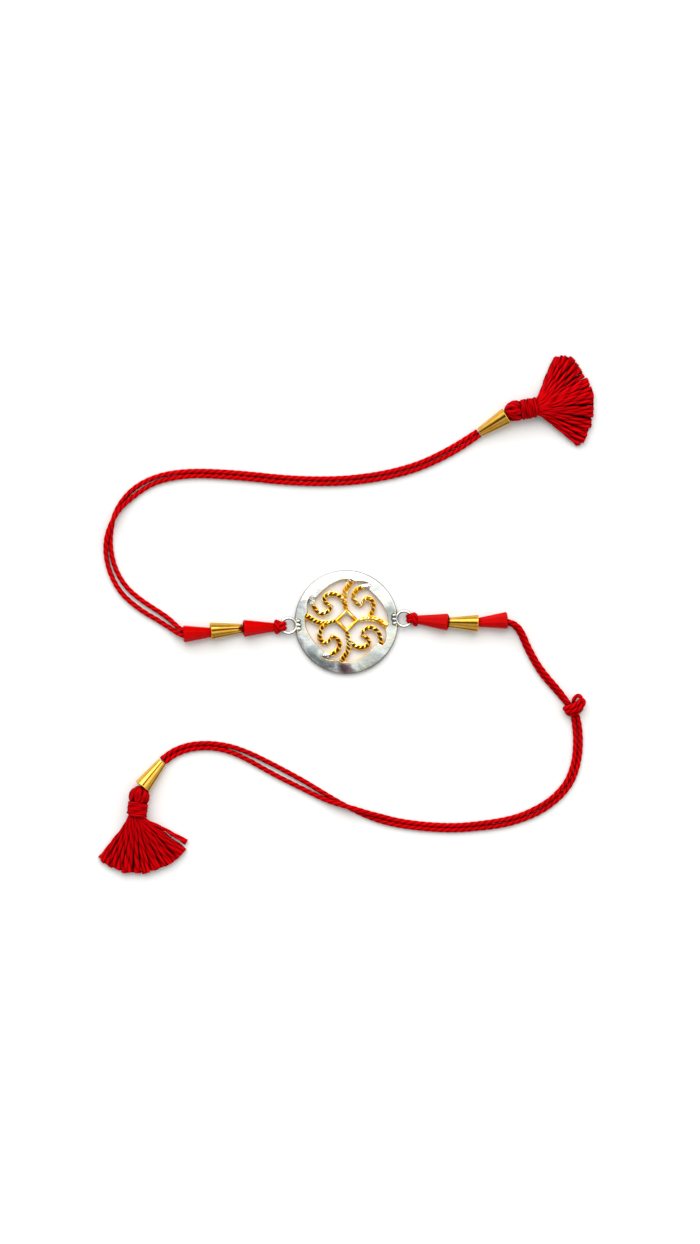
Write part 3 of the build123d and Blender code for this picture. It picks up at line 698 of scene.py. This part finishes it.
def silver_rim():
    """Ring plate between the outline of the scrolls' openings and the outer edge, crowned and rounded."""
    count = 360
    bm = bmesh.new()
    inner = bmesh.ops.create_circle(bm, segments=count, radius=1)["verts"]
    for corner in inner:
        heading = degrees(atan2(corner.co.y, corner.co.x)) + 0.5
        corner.co = scroll_centre + unit(heading) * rim_edge(heading) * medallion_radius
    bmesh.ops.create_circle(bm, segments=count, radius=medallion_radius)
    bmesh.ops.bridge_loops(bm, edges=bm.edges)
    across = [edge for edge in bm.edges if (edge.verts[0] in inner) != (edge.verts[1] in inner)]
    bmesh.ops.subdivide_edges(bm, edges=across, cuts=5)
    for corner in bm.verts:
        out = (corner.co.length - crown_start) / (medallion_radius - crown_start)
        corner.co.z = medallion_thickness - crown_drop * max(out, 0) ** 2
    walled(bm)
    bmesh.ops.bridge_loops(bm, edges=open_edges(bm))
    bmesh.ops.recalc_face_normals(bm, faces=bm.faces)
    lips = [
        edge for edge in bm.edges
        if len(edge.link_faces) == 2 and edge.verts[0].co.z > 0.5 and edge.verts[1].co.z > 0.5
        and abs(edge.link_faces[0].normal.z - edge.link_faces[1].normal.z) > 0.5
    ]
    rounded = [edge for edge in lips if edge.verts[0].co.length > medallion_radius - 0.01]
    cut = [edge for edge in lips if edge not in rounded]
    for lip, radius, segments in ((rounded, outer_round, 4), (cut, inner_round, 2)):
        bmesh.ops.bevel(
            bm, geom=[edge for edge in lip if edge.is_valid], offset=radius, segments=segments,
            profile=0.5, affect="EDGES", material=-1,
        )
    # painted shade on the gold walls of the inner edge
    depth = bm.verts.layers.float.new("cut")
    for corner in bm.verts:
        corner[depth] = rim_shade
    for face in bm.faces:
        middle = face.calc_center_median()
        out = (middle - scroll_centre).xy.length
        edge_out = rim_edge(degrees(atan2(middle.y - scroll_centre.y, middle.x))) * medallion_radius
        face.material_index = 1 if abs(face.normal.z) < 0.97 and out < edge_out + 0.2 else 0
        face.smooth = True
    for edge in bm.edges:
        if len(edge.link_faces) == 2:
            one, other = edge.link_faces
            edge.smooth = one.normal.dot(other.normal) > 0.8 and one.material_index == other.material_index
    return bm


def cut_band(bm, rows, quarter, tones=(0, 0), pitch=1.18, lean=0.35, silver_from=None):
    """Adds a band along a centreline: a straight strip with slanting cuts across it, then bent to place.
    Tones are the range of how dark the cuts' floors are painted, as painted dark reflections."""
    stops = [Vector((x, y, 0)) * medallion_radius for x, y, _ in rows]
    controls = [stops[0]]
    for here, following in zip(stops, stops[1:]):
        controls.append(here.lerp(following, 0.5))
        controls.append(following)
    line = evenly(smooth_line(stops if len(stops) < 4 else controls), 0.06)
    length = distances(line)[-1]
    reached = distances(stops)
    cuts = max(1, round(length / pitch)) if lean else 4
    count = 4 * cuts
    strip = bmesh.new()
    bmesh.ops.create_grid(strip, x_segments=count, y_segments=6, size=0.5)
    depth = strip.verts.layers.float.new("cut")
    spacing = length / cuts
    floors = [rng.uniform(*tones) for _ in range(cuts + 1)]
    for corner in strip.verts:
        cut, part = divmod(round((corner.co.x + 0.5) * count), 4)
        # a bright ridge, then a cut floor between the band's bright edges
        column = round(corner.co.y * 6)
        across = (0, 0.55, 0.78, 1)[abs(column)] * (1 if column > 0 else -1)
        sunk = (1, 1, 0.2, 0)[abs(column)] if part > 1 and lean else 0
        along = (cut + (0, 0.28, 0.38, 0.9)[part]) * spacing
        crown = band_height - band_crown * across**2
        # an arm's outer end dips into the rim
        if rows is arm_table and along < arm_dip_length:
            crown -= arm_dip * (arm_dip_length - along) / arm_dip_length
        corner.co.y = across / 2
        corner.co.z = crown - cut_depth * sunk
        corner.co.x = along + (lean * across if 0 < along < length - 0.01 else 0)
        # painted shade: the middle's bars have one long side painted dark
        corner[depth] = floors[cut] * sunk if lean else 0.8 * (column > 1)
    # painted shade on the band's walls
    for corner in walled(strip):
        corner[depth] = wall_shade
    bmesh.ops.holes_fill(strip, edges=open_edges(strip))
    bmesh.ops.recalc_face_normals(strip, faces=strip.faces)
    turned = Matrix.Rotation(quarter * pi / 2, 4, "Z")
    for corner in strip.verts:
        at = min(max(corner.co.x, 0), length)
        index = min(int(at / length * (len(line) - 1)), len(line) - 2)
        share = at / length * (len(line) - 1) - index
        centre = line[index].lerp(line[index + 1], share)
        along = (line[min(index + 2, len(line) - 1)] - line[max(index - 1, 0)]).normalized()
        scaled = at / length * reached[-1]
        row = min(max(bisect.bisect_right(reached, scaled) - 1, 0), len(rows) - 2)
        part = (scaled - reached[row]) / (reached[row + 1] - reached[row])
        width = (rows[row][2] + (rows[row + 1][2] - rows[row][2]) * part) * band_width
        placed = centre + along * (corner.co.x - at) + UP.cross(along) * corner.co.y * width
        corner.co = turned @ (placed + UP * corner.co.z) + scroll_centre
    if silver_from:
        for face in strip.faces:
            if (face.calc_center_median() - scroll_centre).xy.length > silver_from * medallion_radius:
                face.material_index = 1
    copy = bpy.data.meshes.new("band")
    strip.to_mesh(copy)
    strip.free()
    bm.from_mesh(copy)
    bpy.data.meshes.remove(copy)


rim = piece("silver_rim", silver_rim(), [silver, gold_cut])
scrolls = bmesh.new()
scrolls.verts.layers.float.new("cut")
# how dark the cuts are painted in each quarter, as painted dark reflections: on its arm, and on its hook and
# sweep
painted_reflection_tones = (
    ((0.3, 0.8), (0.92, 1.0)), ((0.95, 1.0), (0.95, 1.0)), ((0.95, 1.0), (0.95, 1.0)), ((0.3, 0.7), (0.6, 1.0)),
)
for quarter, (arm_tones, scroll_tones) in enumerate(painted_reflection_tones):
    cut_band(scrolls, arm_table, quarter, arm_tones, pitch=0.96, silver_from=0.78 if quarter == 0 else None)
    cut_band(scrolls, hook_table, quarter, scroll_tones)
    cut_band(scrolls, sweep_table, quarter, scroll_tones, silver_from=0.73 if quarter != 2 else None)
    cut_band(scrolls, lozenge_table, quarter, lean=0)
for face in scrolls.faces:
    face.smooth = False
scrollwork = piece("scrollwork", scrolls, [gold_cut, silver])

lug_inset, lug_height, solder_height = 0.85, 1.36, 1.25
fittings = bmesh.new()
for heading in (ring_turn, ring_turn + 180):
    outwards = unit(heading)
    aside = unit(heading + 90)
    centre = outwards * ring_reach + UP * ring_height
    wire = bmesh.ops.create_circle(fittings, segments=20, radius=ring_wire / 2)["verts"]
    bmesh.ops.rotate(fittings, cent=(0, 0, 0), matrix=Matrix.Rotation(pi / 2, 3, "X"), verts=wire)
    bmesh.ops.translate(fittings, vec=(ring_mean, 0, 0), verts=wire)
    section = list({edge for corner in wire for edge in corner.link_edges})
    bmesh.ops.spin(
        fittings, geom=wire + section, cent=(0, 0, 0), axis=(0, 0, 1), angle=tau, steps=72, use_merge=True
    )
    # everything made for the side before has its tag set
    ring = [corner for corner in fittings.verts if not corner.tag]
    bmesh.ops.translate(fittings, vec=centre, verts=ring)
    # the lug: three turns of wire pressed together, with a drop of solder at each end
    for across, turn, size in ((-0.92, 14, 0.95), (-0.02, -9, 1.08), (0.9, 8, 1.0)):
        coil = bmesh.ops.create_uvsphere(fittings, u_segments=20, v_segments=12, radius=0.5)["verts"]
        placed = Matrix((outwards, aside, UP)).transposed().to_4x4()
        placed = placed @ Matrix.Rotation(radians(turn), 4, "Z")
        placed = placed @ Matrix.Diagonal((1.42 * size, 0.96 * size, 0.8 * size, 1))
        placed.translation = outwards * (medallion_radius - lug_inset) + aside * across + UP * lug_height
        bmesh.ops.transform(fittings, matrix=placed, verts=coil)
    for across, out in ((-1.42, 0.5), (1.42, 0.6)):
        drop = bmesh.ops.create_uvsphere(fittings, u_segments=12, v_segments=8, radius=0.27)["verts"]
        place = outwards * (medallion_radius - out) + aside * across + UP * solder_height
        bmesh.ops.translate(fittings, vec=place, verts=drop)
        for face in {face for corner in drop for face in corner.link_faces}:
            face.material_index = 1
    for corner in fittings.verts:
        corner.tag = True
for face in fittings.faces:
    face.smooth = True
bmesh.ops.recalc_face_normals(fittings, faces=fittings.faces)
rings = piece("rings_and_lugs", fittings, [silver, gold_cut])
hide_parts("medallion")


# Tied ends: cone, knob of folded yarns, wound wrap and fan
EndRow = namedtuple(
    "EndRow",
    "name strands cone_heading knob_heading neck_heading neck_reach fan_start fan_end longest longer parting"
    " strays",
)
tied_ends = (
    EndRow("upper", ("left_strand_a", "left_strand_b"), 31.5, 30.5, 9.6, 5.4, -42.0, 70.5, 52.0, 0.7, 0.16, ()),
    EndRow(
        "lower", ("right_strand_a", "right_strand_b"), 231.5, 252.0, 262.5, 4.9, 228.0, 325.5, 322.0, 0.5, 0.47,
        (332.6, 329.6),
    ),
)
strand_end_gap = 0.26
knob_diameter, wrap_start_reach, wrap_diameter = 4.3, 1.4, 4.6
fan_reach, fan_set_back = 13.4, 0.5
neck_height = wrap_diameter / 2 + floor_gap
knob_height = knob_diameter / 2 + floor_gap
yarn_width, stray_width, fold_width, stem_width, inner_width = 1.12, 0.85, 1.35, 1.25, 3.3
yarn_lay, folds = 6.5, 11
# where the yarns leave the wrap: half their spread, the round that they follow, and half the dark parting
neck_half, neck_round, parting_half = 1.75, 1.9, 0.035
# the wrap's two layers: turns, yarn width, depth under the surface and slant, and points to a turn
wrap_layers = ((6.4, 0.68, 0.34, 0.2), (5.3, 0.9, 0.66, -0.3))
turn_points = 28


def fan_yarn(end, neck, centre, heading, out, across, level, heights):
    """Control points of one yarn, from inside the wrap to its cut tip."""
    axis = unit(end.neck_heading)
    aside = unit(end.neck_heading + 90)
    points = [
        neck - axis * 1.4 + aside * across * 0.8 + UP * level, neck + axis * 0.2 + aside * across + UP * level
    ]
    for part, height in zip((0.36, 0.6, 0.82, 1.0), heights):
        wander = rng.uniform(-1.6, 1.6) * (1.2 - part)
        place = centre + unit(heading + wander) * (out * part)
        # near the neck a yarn runs beside its neighbours and not from the fan's centre
        place += aside * across * 0.45 * (1 - part)
        place.z = height + rng.uniform(-0.1, 0.2)
        points.append(place)
    return points


def fan_lines(end, neck, centre):
    """Yarns of a fan in three layers, then its stray yarns, and how deep each lies, for its painted shade."""
    lines = []
    depths = []
    reach = fan_reach + fan_set_back
    # layer: number of yarns, height in the neck, share of the fan, shortening, heights along it, and painted
    # shade depths
    layers = (
        (27, -0.95, 0.96, 0.3, (0.65, 0.55, 0.56, 0.58), (0.8, 1.0)),
        (26, 0.0, 0.98, 0.1, (1.60, 1.20, 0.95, 0.85), (0.45, 0.85)),
        (23, 0.95, 1.0, 0.0, (2.60, 2.05, 1.55, 1.20), (0.0, 0.3)),
    )
    for count, neck_step, spread, shorter, heights, depth in layers:
        for yarn in range(count):
            # yarns lie in bunches of three or four, with gaps between them
            bunch = 0.26 * sin(yarn * 1.75 + neck_step * 2 + end.fan_start)
            share = (yarn + 0.5 + bunch + rng.uniform(-0.25, 0.25)) / count
            share = min(max(0.5 + (share - 0.5) * spread, 0.012), 0.988)
            # a dark parting in the top yarns
            if neck_step > 0 and abs(share - end.parting) < parting_half:
                share = end.parting + (parting_half if share > end.parting else -parting_half)
            heading = end.fan_start + (end.fan_end - end.fan_start) * share
            out = reach - 0.1 - shorter + rng.uniform(-0.5, 0.2)
            # the longest yarns, and shorter ones past them
            out += end.longer * max(0, 1 - ((heading - end.longest) / 20) ** 2)
            out -= 0.11 * max(0, heading - end.longest - 6)
            across = (share - 0.5) * 2 * neck_half
            level = neck_step * sqrt(max(0.1, 1 - (across / neck_round) ** 2))
            drop = rng.uniform(-0.25, 0.2)
            low = 1 - 0.5 * abs(2 * share - 1) ** 3
            along = [max((height + drop * 0.6) * low, 0.55) for height in heights]
            lines.append(fan_yarn(end, neck, centre, heading, out, across, level, along))
            depths.append(depth)
    for heading in end.strays:
        lines.append(fan_yarn(end, neck, centre, heading, reach - 0.6, neck_half, 0.3, (1.6, 1.1, 0.8, 0.5)))
        depths.append((0.0, 0.1))
    return lines, depths


end_pieces = {}
for end in tied_ends:
    strand_ends = [cord_lines[name][-1] / MM for name in end.strands]
    tip = (strand_ends[0] + strand_ends[1]) * 0.5 + unit(end.cone_heading) * strand_end_gap
    place = cone_place(gold_cone, tip, end.cone_heading)
    cone = fluted_cone(f"{end.name}_fluted_cone", gold_cone, place, f"{end.name}_end_cone")
    mouth = place.tip + place.axis * gold_cone.length
    knob_offset = (knob_diameter / 2 + running_gap) / cos(radians(end.knob_heading - end.cone_heading))
    knob = mouth + unit(end.knob_heading) * knob_offset
    knob.z = knob_height
    neck = knob + unit(end.neck_heading) * end.neck_reach
    neck.z = neck_height
    centre = neck - unit(end.neck_heading) * fan_set_back
    centre.z = 0
    lines, depths = fan_lines(end, neck, centre)
    lines = [evenly(smooth_line(points), 0.25) for points in lines]
    widths = []
    for number, line in enumerate(lines):
        full = yarn_width * rng.uniform(0.88, 1.1)
        if number >= len(lines) - len(end.strays):
            full = stray_width
        # packed in the wrap, and a little untwisted at the cut tip
        last = len(line) - 1
        widths.append([full * (min(1, 0.46 + 0.54 * index / 52) + 0.12 * max(0, (index - last + 5) / 5))
                       for index in range(last + 1)])
    # yarns folded over the knob, from the cone's mouth to under the wrap
    axis = (neck - knob).normalized()
    aside = unit(end.neck_heading + 90)
    over = axis.cross(aside)
    for fold in range(folds):
        turn = (fold + rng.uniform(-0.12, 0.12)) / folds * tau
        folded = []
        for polar, reach in ((10, 1.95), (40, 1.95), (75, 1.9), (110, 1.85), (140, 1.9), (160, 2.3)):
            angle = turn + radians(polar - 90) * (0.75 if fold % 3 else 0.2)
            # a little wider than high, so that the folds stay above the surface
            outward = aside * cos(angle) * 1.06 + over * sin(angle) * 0.95
            folded.append(knob - axis * cos(radians(polar)) * reach + outward * sin(radians(polar)) * reach)
        lines.append(evenly(smooth_line(folded), 0.25))
        widths.append(fold_width)
        depths.append((0.1, 0.4))
    # the yarns' tail inside the cone, and the folds' inner yarns
    stem = evenly(smooth_line([place.tip, mouth, mouth.lerp(knob, 0.5), knob]), 0.3)
    core = evenly([knob - axis * 1.6, knob + axis * 2.0], 0.3)
    lines += [stem, core]
    widths += [stem_width, inner_width]
    depths += [(0.4, 0.5), (0.5, 0.6)]
    starts = [rng.uniform(0, tau) for _ in lines]
    # deeper yarns are painted darker: painted shade
    mesh = laid_threads(f"{end.name}_yarns", lines, widths, yarn_lay, plies=2, starts=starts, depths=depths)
    tassel = piece(f"{end.name}_yarns", mesh, [tassel_yarn])
    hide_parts(f"{end.name}_tassel")

    # wound yarn round the neck, with its turns a little uneven, over a second layer that closes its gaps
    wrap_length = end.neck_reach - wrap_start_reach
    wound = []
    for turns, width, depth, slant in wrap_layers:
        turn_line = []
        wrap_start = neck - axis * (wrap_length - width / 2)
        for station in range(int(turns * turn_points) + 1):
            angle = station / turn_points * tau
            along = (wrap_length - width) * station / (turns * turn_points) + 0.07 * sin(angle * 1.3 + 1)
            out = wrap_diameter / 2 - depth + 0.06 * sin(angle * 0.37)
            outward = aside * cos(angle) * 1.08 + over * sin(angle)
            turn_line.append(wrap_start + axis * along + outward * out + axis * slant * cos(angle + 0.6))
        wound.append(turn_line)
    wrap_widths = [width for _, width, _, _ in wrap_layers]
    # the lower layer is painted darker: painted shade
    mesh = laid_threads(f"{end.name}_wrap", wound, wrap_widths, 7.0, plies=2, depths=[(0.15, 0.25), (0.6, 0.7)])
    wrap = piece(f"{end.name}_wrap", mesh, [tassel_yarn])
    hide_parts(f"{end.name}_tassel_wrap")
    for name in end.strands:
        end_pieces[name] = [cone, tassel, wrap]


# Knot in the right-hand strands: two bands round them, a loop and a bump
knot_lines = [
    # upper band: over the strands from the left to the loop, and back under them
    [(53.2, -19.9, 0.65), (52.1, -20.3, 0.7), (51.3, -20.45, 1.2), (51.5, -20.1, 2.1), (52.4, -19.95, 2.6),
     (53.3, -19.65, 2.65), (54.1, -19.1, 2.5), (54.9, -18.5, 2.1), (55.25, -17.85, 1.7), (54.85, -17.25, 1.5),
     (54.1, -17.3, 1.4), (53.55, -17.85, 1.3), (53.4, -18.6, 1.2), (53.5, -19.3, 0.9)],
    # lower band: beside it, then up round the knot's right side
    [(53.9, -20.6, 0.6), (52.7, -21.2, 0.65), (51.8, -21.2, 1.1), (51.9, -20.95, 1.9), (52.8, -20.85, 2.4),
     (53.7, -20.6, 2.5), (54.6, -20.1, 2.4), (55.4, -19.5, 2.1), (55.85, -18.85, 1.8), (55.5, -18.25, 1.5),
     (54.8, -18.5, 1.3), (54.3, -19.3, 1.0)],
    # turns under and between the bands
    [(51.9, -20.2, 1.2), (51.75, -21.0, 1.3), (52.3, -21.6, 1.5), (53.2, -21.65, 1.7), (54.1, -21.35, 1.6),
     (54.9, -20.75, 1.3), (55.2, -20.1, 0.9)],
    [(52.6, -19.2, 1.7), (53.4, -19.7, 1.9), (54.4, -19.9, 1.8), (55.3, -20.1, 1.3), (55.2, -20.5, 0.8)],
    [(52.2, -20.2, 0.8), (53.6, -20.2, 0.7), (55.0, -19.6, 0.8)],
]
knot_lines = [evenly(smooth_line([Vector(point) for point in line]), 0.2) for line in knot_lines]
knot_widths = [[1.25 if index < 32 else 1.02 for index in range(len(knot_lines[0]))], 1.25, 1.05, 1.05, 1.2]
# deeper lines are painted darker: painted shade
knot_depths = [(0.0, 0.1), (0.1, 0.2), (0.3, 0.4), (0.5, 0.6), (0.6, 0.7)]
mesh = laid_threads("knot", knot_lines, knot_widths, 4.6, depths=knot_depths)
knot = piece("tied_knot", mesh, [cord_thread])
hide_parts("cord_knot")

for name, strand in cords.items():
    pieces = end_pieces[name]
    if name.startswith("right"):
        pieces.append(knot)
    line = cord_lines[name]

for section in ply_sections.values():
    bpy.data.objects.remove(section)


# Plain pale surface, and soft studio light from the far side
floor_mesh = bpy.data.meshes.new("surface")
bm = bmesh.new()
bmesh.ops.create_grid(bm, x_segments=1, y_segments=1, size=1.5)
bm.to_mesh(floor_mesh)
bm.free()
surface = bpy.data.objects.new("surface", floor_mesh)
bpy.context.collection.objects.link(surface)
paper, tree, shader = new_material("white paper")
set_inputs(tree, shader, Base_Color=(0.85, 0.847, 0.847, 1), Roughness=0.9, Specular_IOR_Level=0.0)
floor_mesh.materials.append(paper)

world = bpy.data.worlds.new("studio")
bpy.context.scene.world = world
world.use_nodes = True
tree = world.node_tree
direction = node(tree, "ShaderNodeTexCoord").outputs["Generated"]
parts = node(tree, "ShaderNodeSeparateXYZ", [("Vector", direction)]).outputs
# the room's own lights and darks are uneven
uneven = math_node(tree, "MULTIPLY_ADD", noise(tree, direction, 5.0, 1.0), 0.5, -0.25)
# the far side, turned a little to the right, is the brighter one
turned = math_node(tree, "MULTIPLY_ADD", parts["X"], 0.3, parts["Y"])
toward = ranged(tree, math_node(tree, "ADD", turned, uneven), -1.0, 1.0)
tones = ramp(
    tree, toward, (0.0, "#D0D0D0"), (0.12, "#606060"), (0.25, "#B8B8B8"), (0.35, "#585858"),
    (0.41, "#B0B4B4"), (0.48, "#C6CAC9"), (0.56, "#D2D5CC"), (0.64, "#D4D6CC"), (0.74, "#FFFFFF"),
    (0.9, "#FFFFFF"), (0.96, "#606060"), (1.0, "#606060"),
)
set_inputs(tree, tree.nodes["Background"], Color=tones, Strength=1.6)

# a wide soft window of light on the picture's upper side, halfway up the sky
lamp = bpy.data.lights.new("window light", "SUN")
lamp.energy = 1.75
lamp.angle = radians(60)
window = bpy.data.objects.new("window light", lamp)
window.location = (-0.06, 0.4, 0.44)
window.rotation_euler = (-window.location).to_track_quat("-Z", "Y").to_euler()
bpy.context.collection.objects.link(window)
